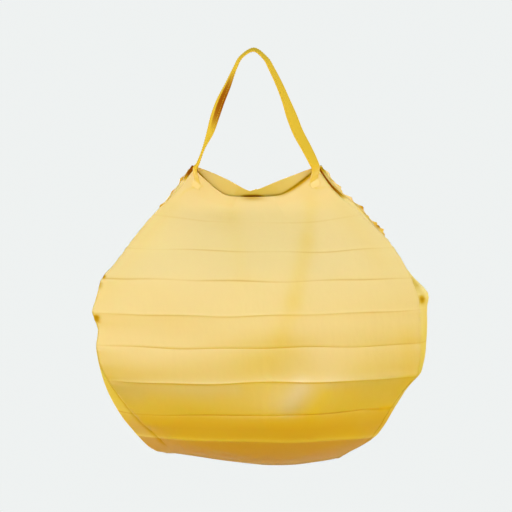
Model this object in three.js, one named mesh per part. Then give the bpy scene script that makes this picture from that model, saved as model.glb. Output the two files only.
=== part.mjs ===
// A foldable shopping bag of thin pleated cloth, hanging open from its one strap.
// Millimetres, +Z up, the front facing -Y. The origin is the underside of the strap at the top of
// its loop, where a hand or a hook holds the bag.
import * as THREE from "three";

const { clamp, degToRad, lerp } = THREE.MathUtils;

// Cloth: the pleated walls, the folded hem at the mouth, and the gap kept along a seam.
const WALL = 1.2;
const HEM_WALL = 2;
const HEM_LEVEL = 0.27;
const HEM_STEP = 0.05;
const SEAM_GAP = 0.35;
const PLEAT_RISE = 1.8;
const CLOTH_COLOUR = "#e8c465";
const CLOTH_ROUGHNESS = 0.7;

// Cross-section: how square the front and back are, how deep the back is beside the front,
// and how sharp the tuck of a gusset is.
const DOME_POWER = 2.4;
const BACK_FULLNESS = 0.96;
const TUCK_POWER = 1.6;

// Columns of facets across each panel.
const FRONT_COLUMNS = 28;
const BACK_COLUMNS = 24;
const GUSSET_COLUMNS = 6;

// Strap: a doubled band, its sewn ends, and its facets.
const STRAP_WIDTH = 20;
const STRAP_WALL = 2.2;
const STRAP_COLUMNS = 4;
const STRAP_STEPS = 4;
const STRAP_SEAT = HEM_WALL / 2 + SEAM_GAP + STRAP_WALL / 2;
const STRAP_COLOUR = "#dcae3c";

// Ruffle: the gathered selvedge that stands out of each back seam, and its width down the seam.
const RUFFLE_WALL = 1.2;
const RUFFLE_GAP = 0.6;
const RUFFLE_WAVE = 17;
const RUFFLE_SWING = 2.2;
const RUFFLE_STEPS = 8;
const RUFFLE_COLUMNS = 2;
const RUFFLE_TABLE_COLUMNS = ["level", "left", "right"];
const RUFFLE_ROWS = [
  [0.1, 2.5, 3],
  [0.5, 3.5, 4],
  [1, 3.5, 4],
  [1.4, 3.5, 5],
  [1.8, 3, 2.5],
  [2.3, 2, 2],
];

// Snap: one plain disc between the hems, in the middle of the mouth.
const SNAP_RADIUS = 5.5;
const SNAP_THICK = 3;
const SNAP_LEVEL = 0.13;
const SNAP_SIDES = 20;
const SNAP_FACE_RADIUS = 4.4;
const SNAP_RIM = 1.2;
const SNAP_COLOUR = "#c99a3a";
const SNAP_ROUGHNESS = 0.45;

// The pleats from mouth to base, a row for each pressed fold and some between. level counts the
// pleats down; ridge is 1 on a fold that stands out and -1 on one that lies in; middle and side
// are heights at the centre of the front and at its edges; slant lifts the right edge and lowers
// the left; left and right are its edges; depth and edge are how far forward its centre and its
// edges are; lobe opens the mouth on each side of the snap.
const FOLD_COLUMNS = [
  "level", "ridge", "middle", "side", "slant", "left", "right", "depth", "edge", "lobe",
];
const FOLD_ROWS = [
  [0, 0, -198, -170, 0, -87, 93, 2.9, 5, 6],
  [0.25, 0, -209, -183, 0, -99, 105, 3.3, 6, 7],
  [1, -0.5, -233, -222, 0, -137, 147, 22, 12, 6],
  [2, 0.6, -269, -265, 0, -171.5, 187, 48, 21, 2],
  [3, -0.6, -308, -307, 0, -204.5, 211, 72, 32, 0],
  [3.5, 0, -331, -329, 1, -212, 219, 79, 36, 0],
  [4, 1, -354, -351, 2, -215, 222, 84, 40, 0],
  [4.5, 0, -375, -372.5, 2, -209, 223, 87, 43, 0],
  [5, -1, -396, -394.5, 1.5, -211, 223, 89, 45, 0],
  [6, 1, -444, -443, 2, -195, 214, 88, 46, 0],
  [7, -1, -489, -488, 2.5, -161, 180.5, 79, 40, 0],
  [8, 1, -529, -525, -2, -126, 153, 57, 28, 0],
  [9, -0.6, -555, -543, -3, -113, 129, 26, 14, 0],
  [10, 0, -563.5, -549, -2, -107, 117, 0.3, 0.8, 0],
];

// The sides and the back on the same rows. A bulge swells a gusset outwards, and tucks it in
// where it is negative; a turn is how far the back edge stands out past the front edge; rise and
// lift are how much higher the back is at its centre and at its edges; tip lifts its right edge and
// lowers its left; dip is how far left of the centre front and back hang lowest, as a share of the
// half width; frontSag and backSag are powers that shape the droop.
const SIDE_COLUMNS = [
  "leftBulge", "rightBulge", "leftTurn", "rightTurn",
  "rise", "lift", "tip", "dip", "frontSag", "backSag",
];
const SIDE_ROWS = [
  [-4, -5, 2, 1.5, 7.5, 14, 1.5, 0.05, 1.5, 0.8],
  [-6, -6, -1, 2, 7.5, 12, 1.5, 0.05, 1.5, 0.95],
  [-9, -10, -9, -1.5, 4, 6, 1, 0, 1.8, 1.4],
  [-8, -8, -12, -6, 1, 2, 0, 0, 2, 2],
  [0, 5, -5, 0, 0, 0, 0, 0, 2, 2],
  [1, 17, -2, 0, 0, 0, 0, 0, 2, 2],
  [1, 13, 0, 0, 0, 0, 0, 0, 2, 2],
  [0, 12, 0, 0, 0, 0, 0, 0, 2, 2],
  [2, 11, 0, 0, 0, 0, 0, 0, 2, 2],
  [11, 8, 0, 0, 0, 0, 0, 0, 2, 2],
  [23, 10, 0, 0, 0, 0, 0, 0, 2, 2],
  [30, 9, 0, 0, 0, 0, 0, 0, 2, 2],
  [26, 6, 0, 0, 0, 0, 0, -0.15, 1.7, 1.7],
  [12, 4, 0, 0, 0, 0, 0, -0.25, 1.5, 1.5],
];

// Soft folds that hang from the strap's ends and over the full belly, on the front: each runs
// between two places given as across (-1 left, 1 right) and level, stands up or in by rise, and
// fades over reach across and over fade levels. They die out towards the front's edges.
const DRAPE_FADE = 4;
const DRAPE_COLUMNS = ["rise", "reach", "fade", "acrossA", "levelA", "acrossB", "levelB"];
const DRAPE_ROWS = [
  [2, 0.12, 1, -0.9, 0.6, -0.53, 3.1],
  [-2.5, 0.16, 1, 0.62, 0.7, 0.2, 3.6],
  [-2.5, 0.17, 1, 0.17, 5.1, 0.12, 5.4],
  [3.5, 0.16, 0.6, 0.32, 6.9, 0.16, 7.1],
  [-3, 0.16, 0.6, 0.76, 7, 0.72, 7.2],
  [-1.5, 0.2, 0.6, -0.6, 7.3, -0.5, 7.5],
];

// The strap above the mouth, a row for each station from the left end to the right: its place,
// tilt, in degrees, turns its outer face to the front; cup is how deep it folds along its length.
const STRAP_TABLE_COLUMNS = ["x", "y", "z", "tilt", "cup"];
const STRAP_ROWS = [
  [-76.5, -9, -154, 8, 0],
  [-69, -8, -132, 6, 0],
  [-60.3, -7, -111, 24, 1],
  [-54, -6, -89, 30, 4],
  [-46.6, -5, -67.5, 26, 5],
  [-36.6, -4, -46, 18, 3],
  [-27, -2.5, -24, 12, 0],
  [-17.2, -1, -8.5, 10, 0],
  [0, 0, STRAP_WALL / 2, 14, 0],
  [16, -1, -11, 17, 0],
  [24, -2.5, -24, 22, 0],
  [35, -4, -46, 27, 0],
  [44.3, -5.5, -67.5, 35, 0.5],
  [52.3, -7, -89, 48, 0.8],
  [61, -8, -111, 48, 0.8],
  [71, -9, -132, 45, 0],
  [82, -10, -154, 42, 0],
];

// Where the strap is sewn on: places on the front panel, across counted outwards from its centre.
const SEAT_COLUMNS = ["across", "level"];
const LEFT_SEAT = [[0.83, 0.24], [0.86, 0.13], [0.89, 0.02]];
const RIGHT_SEAT = [[0.87, 0.02], [0.84, 0.13], [0.81, 0.24]];

const namedRow = (columns, row) => Object.fromEntries(columns.map((name, i) => [name, row[i]]));

// Sections of the bag at any level: smooth between the rows, with straight pleats between folds.
const SECTION_COLUMNS = [...FOLD_COLUMNS, ...SIDE_COLUMNS];
const sectionRows = FOLD_ROWS.map((row, i) => [...row, ...SIDE_ROWS[i]]);
const levels = FOLD_ROWS.map((row) => row[0]);
const lastLevel = levels[levels.length - 1];
const sections = new THREE.CubicInterpolant(levels, sectionRows.flat(), SECTION_COLUMNS.length);
const ridges = new THREE.LinearInterpolant(levels, FOLD_ROWS.map((row) => row[1]), 1);
const sectionAt = (level) => namedRow(SECTION_COLUMNS, [...sections.evaluate(level)]);
const ridgeAt = (level) => ridges.evaluate(level)[0];
const wallAt = (level) => (level < HEM_LEVEL ? HEM_WALL : WALL);

// Distance forward of the front, or back of the back, across it.
function domeDepth(section, across, fullness) {
  const dome = 1 - Math.abs(across) ** DOME_POWER;
  const lobe = 4 * across ** 2 * (1 - across ** 2);
  return section.edge + (section.depth * fullness - section.edge) * dome + section.lobe * lobe;
}

// How far a place is from where the front or the back hangs lowest.
const fromDip = (section, across) => Math.abs(across + section.dip * (1 - across ** 2));

function frontPoint(level, across) {
  const section = sectionAt(level);
  const x = lerp(section.left, section.right, (across + 1) / 2);
  const z = lerp(section.middle, section.side, fromDip(section, across) ** section.frontSag);
  return new THREE.Vector3(x, -domeDepth(section, across, 1), z + section.slant * across);
}

function backPoint(level, across) {
  const section = sectionAt(level);
  const left = section.left - section.leftTurn;
  const right = section.right + section.rightTurn;
  const x = lerp(left, right, (across + 1) / 2);
  const middle = section.middle + section.rise;
  const z = lerp(middle, section.side + section.lift, fromDip(section, across) ** section.backSag);
  const lean = (section.slant + section.tip) * across;
  return new THREE.Vector3(x, domeDepth(section, across, BACK_FULLNESS), z + lean);
}

// A gusset, from the front edge at back = -1 to the back edge at back = 1.
function gussetPoint(side, level, back) {
  const section = sectionAt(level);
  const edge = side < 0 ? section.left : section.right;
  const turn = side < 0 ? section.leftTurn : section.rightTurn;
  const bulge = side < 0 ? section.leftBulge : section.rightBulge;
  const share = (back + 1) / 2;
  const swell = turn * share + bulge * (1 - Math.abs(back) ** TUCK_POWER);
  const lean = side * (section.slant + section.tip * share);
  const z = section.side + section.lift * share + lean;
  return new THREE.Vector3(edge + side * swell, section.edge * back, z);
}

// Height of the soft folds at a place on the front.
function drapeAt(level, across) {
  let height = 0;
  for (const row of DRAPE_ROWS) {
    const drape = namedRow(DRAPE_COLUMNS, row);
    const fades = new THREE.Vector2(drape.reach, drape.fade);
    const start = new THREE.Vector2(drape.acrossA, drape.levelA).divide(fades);
    const end = new THREE.Vector2(drape.acrossB, drape.levelB).divide(fades);
    const place = new THREE.Vector2(across, level).divide(fades);
    const run = end.sub(start);
    const share = clamp(place.clone().sub(start).dot(run) / run.lengthSq(), 0, 1);
    const away = place.distanceTo(start.addScaledVector(run, share));
    height += drape.rise * Math.exp(-(away ** 2));
  }
  return height * (1 - across ** DRAPE_FADE);
}

// The panels in order round the bag, anticlockwise from above. Each place runs 0 to 1 across.
const PANELS = [
  {
    name: "front_panel",
    columns: FRONT_COLUMNS,
    point: (level, t) => frontPoint(level, 2 * t - 1),
    drape: (level, t) => drapeAt(level, 2 * t - 1),
  },
  {
    name: "gusset_right",
    columns: GUSSET_COLUMNS,
    point: (level, t) => gussetPoint(1, level, 2 * t - 1),
    drape: () => 0,
  },
  {
    name: "back_panel",
    columns: BACK_COLUMNS,
    point: (level, t) => backPoint(level, 1 - 2 * t),
    drape: () => 0,
  },
  {
    name: "gusset_left",
    columns: GUSSET_COLUMNS,
    point: (level, t) => gussetPoint(-1, level, 1 - 2 * t),
    drape: () => 0,
  },
];
const [FRONT, RIGHT, BACK, LEFT] = PANELS;

// The middle surface of a panel at one place: the point, the way along the panel and the way out.
const PROBE = 0.01;
function frameAt(panel, level, t) {
  const before = panel.point(level, Math.max(t - PROBE, 0));
  const after = panel.point(level, Math.min(t + PROBE, 1));
  const above = panel.point(Math.max(level - PROBE, 0), t);
  const below = panel.point(Math.min(level + PROBE, lastLevel), t);
  const along = after.sub(before).normalize();
  const out = along.clone().cross(above.sub(below)).normalize();
  return { point: panel.point(level, t), along, out };
}

// The same on a seam, where the panel before it and the panel after it meet at a corner.
function seamFrame(level, before, after) {
  const end = frameAt(before, level, 1);
  const start = frameAt(after, level, 0);
  const along = end.along.add(start.along).normalize();
  const out = end.out.add(start.out).normalize();
  return { point: start.point, along, out };
}

// How far the pleats and the soft folds move the wall outwards there.
const reliefAt = (panel, level, t) => ridgeAt(level) * PLEAT_RISE + panel.drape(level, t);

// A closed wall about its middle surface: rows of places, each with its point, the way out and
// half the thickness there. Rows run down the wall and places run along it.
function closedWall(rows) {
  const positions = [];
  const index = [];
  const wide = rows[0].length;
  const lastRow = rows.length - 1;
  const lastColumn = wide - 1;
  for (const side of [1, -1]) {
    for (const { point, out, half } of rows.flat()) {
      positions.push(...point.clone().addScaledVector(out, side * half).toArray());
    }
  }
  const outer = (row, column) => row * wide + column;
  const inner = (row, column) => rows.length * wide + outer(row, column);
  const quad = (a, b, c, d) => index.push(a, b, c, a, c, d);
  const border = (a, b) => quad(outer(...b), outer(...a), inner(...a), inner(...b));
  for (let row = 0; row < lastRow; row += 1) {
    for (let column = 0; column < lastColumn; column += 1) {
      const corners = [[row, column], [row + 1, column], [row + 1, column + 1], [row, column + 1]];
      quad(...corners.map((corner) => outer(...corner)));
      quad(...corners.reverse().map((corner) => inner(...corner)));
    }
    border([row, 0], [row + 1, 0]);
    border([row + 1, lastColumn], [row, lastColumn]);
  }
  for (let column = 0; column < lastColumn; column += 1) {
    border([0, column + 1], [0, column]);
    border([lastRow, column], [lastRow, column + 1]);
  }
  const geometry = new THREE.BufferGeometry();
  geometry.setAttribute("position", new THREE.Float32BufferAttribute(positions, 3));
  geometry.setIndex(index);
  geometry.computeVertexNormals();
  return geometry;
}

const evenly = (count, start = 0, end = 1) =>
  Array.from({ length: count + 1 }, (_, i) => lerp(start, end, i / count));

// Rows of a panel: the hem, the step under it and the rest of the first pleat, then two to a pleat.
const panelLevels = [
  ...evenly(2, 0, HEM_LEVEL - HEM_STEP / 2),
  ...evenly(2, HEM_LEVEL + HEM_STEP / 2, 1),
  ...evenly(2 * (lastLevel - 1), 1, lastLevel).slice(1),
];

function panelGeometry(order) {
  const panel = PANELS[order];
  const before = PANELS[(order + PANELS.length - 1) % PANELS.length];
  const after = PANELS[(order + 1) % PANELS.length];
  const rows = panelLevels.map((level) =>
    evenly(panel.columns).map((t) => {
      let frame = frameAt(panel, level, t);
      let shift = 0;
      if (t === 0) {
        frame = seamFrame(level, before, panel);
        shift = SEAM_GAP / 2;
      } else if (t === 1) {
        frame = seamFrame(level, panel, after);
        shift = -SEAM_GAP / 2;
      }
      const { point, along, out } = frame;
      point.addScaledVector(out, reliefAt(panel, level, t)).addScaledVector(along, shift);
      return { point, out, half: wallAt(level) / 2 };
    }),
  );
  return closedWall(rows);
}

// The strap is lofted through stations, each a row of places across its width. Sewn stations lie
// on the front panel, and the others come from the strap's table.
const strapShares = evenly(STRAP_COLUMNS, -1, 1);

function seatStation(side, row) {
  const { across, level } = namedRow(SEAT_COLUMNS, row);
  const { left, right } = sectionAt(level);
  const reach = STRAP_WIDTH / (right - left);
  return strapShares.map((share) => {
    const t = (side * (across + share * reach) + 1) / 2;
    const { point, out } = frameAt(FRONT, level, t);
    return { point: point.addScaledVector(out, STRAP_SEAT + reliefAt(FRONT, level, t)), out };
  });
}

function freeStation(row, i, rows) {
  const { x, y, z, tilt, cup } = namedRow(STRAP_TABLE_COLUMNS, row);
  const before = new THREE.Vector3(...rows[Math.max(i - 1, 0)]);
  const after = new THREE.Vector3(...rows[Math.min(i + 1, rows.length - 1)]);
  const run = after.sub(before).normalize();
  const outward = new THREE.Vector3(-run.z, 0, run.x).normalize();
  const turn = degToRad(tilt);
  const face = outward.multiplyScalar(Math.cos(turn)).add(new THREE.Vector3(0, -Math.sin(turn), 0));
  face.addScaledVector(run, -face.dot(run)).normalize();
  const across = face.clone().cross(run);
  return strapShares.map((share) => {
    const point = new THREE.Vector3(x, y, z).addScaledVector(across, (share * STRAP_WIDTH) / 2);
    return { point: point.addScaledVector(face, cup * (0.5 - Math.abs(share))), out: face };
  });
}

function strapGeometry() {
  const stations = [
    ...LEFT_SEAT.map((row) => seatStation(-1, row)),
    ...STRAP_ROWS.map(freeStation),
    ...RIGHT_SEAT.map((row) => seatStation(1, row)),
  ];
  const columns = strapShares.map((_, i) => ({
    points: new THREE.CatmullRomCurve3(stations.map((station) => station[i].point)),
    outs: new THREE.CatmullRomCurve3(stations.map((station) => station[i].out)),
  }));
  const rows = evenly((stations.length - 1) * STRAP_STEPS).map((t) =>
    columns.map(({ points, outs }) => ({
      point: points.getPoint(t),
      out: outs.getPoint(t).normalize(),
      half: STRAP_WALL / 2,
    })),
  );
  return closedWall(rows);
}

// A ruffle stands out of the seam between a gusset and the back, and waves more towards its edge.
const ruffleLevels = RUFFLE_ROWS.map((row) => row[0]);
const ruffleTable = new THREE.CubicInterpolant(ruffleLevels, RUFFLE_ROWS.flat(), RUFFLE_TABLE_COLUMNS.length);

function ruffleGeometry(side) {
  const [before, after] = side > 0 ? [RIGHT, BACK] : [BACK, LEFT];
  const top = ruffleLevels[0];
  const bottom = ruffleLevels[ruffleLevels.length - 1];
  const length = before.point(top, 1).distanceTo(before.point(bottom, 1));
  const waves = Math.round(length / RUFFLE_WAVE);
  const rows = evenly(waves * RUFFLE_STEPS).map((share) => {
    const level = lerp(top, bottom, share);
    const widths = namedRow(RUFFLE_TABLE_COLUMNS, [...ruffleTable.evaluate(level)]);
    const { point, along, out } = seamFrame(level, before, after);
    const seat = wallAt(level - HEM_STEP) / 2 + RUFFLE_GAP;
    const root = point.addScaledVector(out, ridgeAt(level) * PLEAT_RISE + seat);
    const wave = Math.sin(share * waves * 2 * Math.PI) * RUFFLE_SWING;
    const face = along.negate();
    return evenly(RUFFLE_COLUMNS).map((width) => {
      const place = root.clone().addScaledVector(out, width * (side < 0 ? widths.left : widths.right));
      place.addScaledVector(face, wave * width);
      return { point: place, out: face, half: RUFFLE_WALL / 2 };
    });
  });
  return closedWall(rows);
}

// The snap is turned about the Y axis, so that its faces look at the two hems.
function snapGeometry() {
  const profile = [
    [0, -SNAP_THICK / 2],
    [SNAP_FACE_RADIUS, -SNAP_THICK / 2],
    [SNAP_RADIUS, -SNAP_RIM / 2],
    [SNAP_RADIUS, SNAP_RIM / 2],
    [SNAP_FACE_RADIUS, SNAP_THICK / 2],
    [0, SNAP_THICK / 2],
  ].map(([radius, height]) => new THREE.Vector2(radius, height));
  return new THREE.LatheGeometry(profile, SNAP_SIDES);
}

function named(name, geometry, color, roughness = CLOTH_ROUGHNESS) {
  const mesh = new THREE.Mesh(geometry, new THREE.MeshStandardMaterial({ color, roughness, metalness: 0 }));
  mesh.name = name;
  return mesh;
}

const bag = new THREE.Group();
PANELS.forEach((panel, order) => {
  bag.add(named(panel.name, panelGeometry(order), CLOTH_COLOUR));
});
bag.add(named("side_ruffle_left", ruffleGeometry(-1), CLOTH_COLOUR));
bag.add(named("side_ruffle_right", ruffleGeometry(1), CLOTH_COLOUR));
bag.add(named("handle_strap", strapGeometry(), STRAP_COLOUR));

const snap = named("snap_fastener", snapGeometry(), SNAP_COLOUR, SNAP_ROUGHNESS);
const mouth = frontPoint(SNAP_LEVEL, 0);
snap.position.set(mouth.x, 0, mouth.z);
bag.add(snap);

export default bag;
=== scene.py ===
"""Looks of a foldable shopping bag of thin pleated cloth that hangs open from its one strap.

Metres, +Z up, the front facing -Y. The tables are in millimetres. The origin is the underside of
the strap at the top of its loop.
"""
import math

import bpy
import numpy as np
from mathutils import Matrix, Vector, noise


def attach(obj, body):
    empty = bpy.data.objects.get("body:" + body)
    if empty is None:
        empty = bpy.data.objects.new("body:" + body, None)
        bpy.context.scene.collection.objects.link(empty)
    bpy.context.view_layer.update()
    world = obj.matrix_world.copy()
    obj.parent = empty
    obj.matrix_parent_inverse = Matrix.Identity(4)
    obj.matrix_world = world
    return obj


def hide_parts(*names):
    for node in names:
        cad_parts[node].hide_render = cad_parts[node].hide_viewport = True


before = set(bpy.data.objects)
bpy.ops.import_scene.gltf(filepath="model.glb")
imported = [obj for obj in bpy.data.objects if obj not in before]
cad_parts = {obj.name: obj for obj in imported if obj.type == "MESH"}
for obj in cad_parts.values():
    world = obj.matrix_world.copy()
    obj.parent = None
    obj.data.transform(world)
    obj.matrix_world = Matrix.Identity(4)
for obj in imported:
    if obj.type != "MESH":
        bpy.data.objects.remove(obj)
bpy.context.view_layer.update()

MM = 0.001

# Cloth: how thick the pleated walls and the folded hem at the mouth are, the level where the hem ends,
# and the share of a pleat over which it thins.
WALL = 0.9
HEM_WALL = 1.0
HEM_LEVEL = 0.27
HEM_STEP = 0.04

# Pressed pleats: how far folds stand out or lie in, the height of a pleat, the crisp pinch along a fold
# with its slow and its sharp side, and how far a band swells between its folds. Towards the side seams
# the pleats lose a share of their height, by a power of how far they are from the middle.
PLEAT_RISE = 0.35
PLEAT_PITCH = 46
PINCH_RISE = 0.5
PINCH_LONG = 4
PINCH_SHORT = 1
BAND_SWELL = 0.3
EDGE_PRESSING = 0.85
EDGE_POWER = 6

# Painted light and shade of the folds: how far beside a fold its painted shade line lies and how wide
# it is, how uneven it is along the fold and how that turns from fold to fold, how much painted highlight
# a crest takes, and how much more painted shade the inner face takes.
LINE_SHIFT = 0.8
LINE_REACH = 0.9
LINE_UNEVEN = 0.6
LINE_TURN = 5
CREST_PAINTED_HIGHLIGHT = 0.5
INNER_PAINTED_SHADE = 0.35

# The front's folds stray up and down: how far, the lengths of two waves across the bag, how far each
# turns from one pleat to the next, the levels between which they stray, and a power that straightens
# them at the side seams.
WANDER_RISE = 1.3
WANDER_LONG = 71
WANDER_SHORT = 26
WANDER_LONG_TURN = 1.3
WANDER_SHORT_TURN = 2.3
WANDER_TOP = 0.5
WANDER_BOTTOM = 8.6
WANDER_POWER = 4

# Cross-section: how square the front and back are, how deep the back is beside the front, how sharp the
# tuck of a gusset is, and how softly a rim starts to rise. The mouth shuts over SHUT_REACH from its
# middle, opens again at the corners by a power, and is less shut on the right.
DOME_POWER = 2.4
BACK_FULLNESS = 0.96
TUCK_POWER = 1.6
DROOP_ROUND = 0.12
SHUT_REACH = 0.3
SHUT_POWER = 6
RIGHT_SHUT = 0.8

# Columns of faces across each panel.
FRONT_COLUMNS = 190
BACK_COLUMNS = 150
GUSSET_COLUMNS = 44

# Rows of faces in one pleat, as shares of it, closest at the two folds, and rows in the hem.
PLEAT_SHARES = (
    0, 0.012, 0.026, 0.046, 0.076, 0.13, 0.22, 0.33, 0.5, 0.67, 0.78, 0.87, 0.924, 0.954, 0.974, 0.988,
)
HEM_ROWS = 22

# The pleats from mouth to base, a row for each pressed fold. level counts the pleats down; ridge is
# 1 on a fold that stands out and -1 on one that lies in; press is how crisp it is and line how dark its
# painted shade line is; middle and side are heights at the centre of the front and at its edges; slant
# lifts the right edge and lowers the left; left and right are the edges; depth and edge are how far
# forward its centre and its edges are; lobe opens the mouth on each side of the snap, and shut closes
# it, most on the left.
FOLD_COLUMNS = (
    "level", "ridge", "press", "line", "middle", "side", "slant",
    "left", "right", "depth", "edge", "lobe", "shut",
)
FOLD_ROWS = (
    (0, 0, 0, 0, -198, -160, 0, -81, 87, 2.9, 3.5, 1.2, 0.65),
    (0.25, 0, 0, 0, -209, -181, 0, -97, 101.5, 6.5, 5, 2.5, 0.6),
    (1, -0.25, 0.2, 0.25, -233, -222, 0, -137, 147, 21, 12, 5, 0.1),
    (2, 0.4, 0.4, 0.7, -269, -265, 0, -171.5, 187, 48, 21, 2, 0),
    (2.5, -0.07, 0, 0, -288, -286, 0, -187, 200.7, 61, 26.5, 1, 0),
    (3, -0.55, 0.5, 0.75, -308, -307, 0, -204.5, 211, 72, 32, 0, 0),
    (3.5, 0, 0, 0, -331, -329, 1, -210.5, 219, 79, 36, 0, 0),
    (4, 0.9, 0.8, 0.45, -352.2, -349.5, 2.3, -216, 222, 84, 40, 0, 0),
    (4.15, 0.63, 0, 0, -358.8, -356, 2.3, -214.5, 222.3, 85, 41, 0, 0),
    (4.45, 0.09, 0, 0, -373, -370.5, 2, -209, 223, 87, 43, 0, 0),
    (5, -0.9, 0.8, 0.45, -396, -394.5, 1.5, -211, 223, 89, 45, 0, 0),
    (5.7, 0.43, 0, 0, -428, -425.5, 2.6, -204, 221.5, 88.5, 46, 0, 0),
    (6, 1, 1.7, 0.8, -441.5, -439.5, 3, -196, 218, 88, 46, 0, 0),
    (6.3, 0.43, 0, 0, -455.5, -454, 3.2, -185.5, 204.5, 86, 45, 0, 0),
    (7, -0.9, 1.5, 1.3, -486.3, -484.5, 4, -161.5, 183.5, 79, 40, 0, 0),
    (8, 1, 1.8, 0.9, -523.5, -522, 0, -128, 157, 57, 28, 0, 0),
    (9, -0.6, 0.6, 0.5, -554.5, -543, -2.5, -113, 122, 26, 14, 0, 0),
    (10, 0, 0, 0, -562.7, -550, -3, -107, 111, 0.3, 0.8, 0, 0),
)

# The sides and the back on the same folds. A bulge swells a gusset outwards, and tucks it in where
# it is negative; a turn is how far the back edge stands out past the front edge; rise and lift are
# how much higher the back is at its centre and at its edges; tip lifts its right edge and lowers its
# left; dip is how far left of the centre front and back hang lowest, as a share of the half width;
# flat is how much of the half width hangs level there, sag is a power that shapes the droop, and skew
# makes the rim hang lower on the right of the front and steeper on the left of the back.
SIDE_COLUMNS = (
    "left_bulge", "right_bulge", "left_turn", "right_turn",
    "rise", "lift", "tip", "dip", "front_sag", "back_sag", "front_flat", "back_flat",
    "front_skew", "back_skew",
)
SIDE_ROWS = (
    (-6, -8, 3, 4, 7.7, 5, 0, 0.1, 1, 0.7, 0.45, 0.12, 0.15, 0.2),
    (-8, -9, 1, 3.5, 7.5, 4.5, 0, 0.1, 1, 0.75, 0.4, 0.12, 0.15, 0.2),
    (-9, -10, -9, -1.5, 4, 6, 1, 0, 1.8, 1.4, 0.1, 0.05, 0.05, 0.1),
    (-8, -8, -12, -6, 1, 2, 0, 0, 2, 2, 0, 0, 0, 0),
    (-4, -1, -9, -3, 0.4, 1, 0, 0, 2, 2, 0, 0, 0, 0),
    (0, 5, -5, 0, 0, 0, 0, 0, 2, 2, 0, 0, 0, 0),
    (1, 17, -2, 0, 0, 0, 0, 0, 2, 2, 0, 0, 0, 0),
    (0, 13, 0, 0, 0, 0, 0, 0, 2, 2, 0, 0, 0, 0),
    (0, 12.5, 0, 0, 0, 0, 0, 0, 2, 2, 0, 0, 0, 0),
    (0, 12, 0, 0, 0, 0, 0, 0, 2, 2, 0, 0, 0, 0),
    (2, 11, 0, 0, 0, 0, 0, 0, 2, 2, 0, 0, 0, 0),
    (5, 8.5, 0, 0, 0, 0, 0, 0, 2, 2, 0, 0, 0, 0),
    (9.5, 7.5, 0, 0, 0, 0, 0, 0, 2, 2, 0, 0, 0, 0),
    (15, 8, 0, 0, 0, 0, 0, 0, 2, 2, 0, 0, 0, 0),
    (23, 10, 0, 0, 0, 0, 0, 0, 2, 2, 0, 0, 0, 0),
    (30, 10, 0, 0, 0, 0, 0, 0, 2, 2, 0, 0, 0, 0),
    (26, 6, 0, 0, 0, 0, 0, -0.15, 1.7, 1.7, 0, 0, 0, 0),
    (12, 4, 0, 0, 0, 0, 0, -0.25, 1.5, 1.5, 0, 0, 0, 0),
)

# Soft folds, each between two places given as across (-1 left, 1 right) and level: it stands up or
# in by rise, and fades over reach across and over fade levels.
DRAPE_COLUMNS = ("rise", "reach", "fade", "across_a", "level_a", "across_b", "level_b")
FRONT_DRAPES = (
    (2, 0.12, 1, -0.9, 0.6, -0.53, 3.1),
    (-2.5, 0.16, 1, 0.62, 0.7, 0.2, 3.6),
    (-4.5, 0.17, 0.9, 0.19, 5.5, 0.14, 5.8),
    (3.5, 0.16, 0.6, 0.32, 6.9, 0.16, 7.1),
    (-3, 0.16, 0.6, 0.76, 7, 0.72, 7.2),
    (-1.5, 0.2, 0.6, -0.6, 7.3, -0.5, 7.5),
    (-1.5, 0.25, 0.8, -0.6, 4.2, -0.55, 4.3),
    (2, 0.25, 0.8, -0.6, 5.8, -0.5, 6),
    (-1.5, 0.2, 0.7, 0.5, 4.3, 0.5, 4.4),
    (2.5, 0.2, 0.6, 0.5, 6, 0.48, 6.1),
    (0.4, 0.025, 0.5, 0.02, 5.9, 0.0, 7.4),
    (-0.4, 0.025, 0.5, 0.06, 5.9, 0.05, 7.2),
)
BACK_DRAPES = (
    (3, 0.12, 1, -0.85, 0.6, -0.4, 3.4),
    (-3, 0.16, 1, 0.6, 0.8, 0.15, 5.2),
    (2.5, 0.12, 1, 0.8, 0.7, 0.55, 2.8),
    (2.5, 0.13, 1, -0.35, 5.4, 0.2, 7.3),
    (-2.5, 0.15, 0.7, 0.5, 6.2, 0.45, 7.5),
)
DRAPE_FADE = 4

# Small creases all over the cloth: height, and how long they are across the bag and down it.
CREASE_COLUMNS = ("height", "across", "down")
CREASE_ROWS = ((1, 75, 150), (0.3, 26, 60), (0.1, 11, 22))

# Painted shade, from 0 to 1. Spots are painted shade in dimples and tucks on a panel. On a gusset they
# fade out towards the back over a run of SPOT_FADE, which ends SPOT_START times that length in front of
# the middle.
SPOT_COLUMNS = ("panel", "x", "z", "reach_x", "reach_z", "shade")
SPOT_ROWS = (
    ("front_panel", -2, -199, 16, 4, 0.35),
    ("front_panel", -211, -359, 4, 4, 0.9),
    ("front_panel", -202, -304, 2.5, 2, 0.9),
    ("front_panel", -206, -315, 2.5, 2, 0.9),
    ("front_panel", 163, -481.5, 14, 1.2, 0.3),
    ("gusset_right", 226, -335, 4.5, 5, 0.8),
    ("gusset_right", 219, -317, 6, 5, 0.3),
    ("gusset_right", 213, -310, 6, 5, 0.3),
)
SPOT_FADE = 14
SPOT_START = 0.6

# Painted shadow in the slit between the front's edge and a ruffle: the level where it ends on each
# side, where it starts on the gusset as a share from its front edge, and how fast it comes in there and
# goes out at its end.
SLIT_ENDS = {"gusset_left": 0.25, "gusset_right": 0.6}
SLIT_START = 0.3
SLIT_FADE = 5
SLIT_END_FADE = 8

# Painted shade along the lower side seams: how dark it is, how far on the gusset as a share of it, and
# the levels where that comes and goes.
SEAM_SHADE = 0.35
SEAM_REACH = 0.06
SEAM_LEVELS = (5.8, 6.2, 8.2, 8.8)

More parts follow.
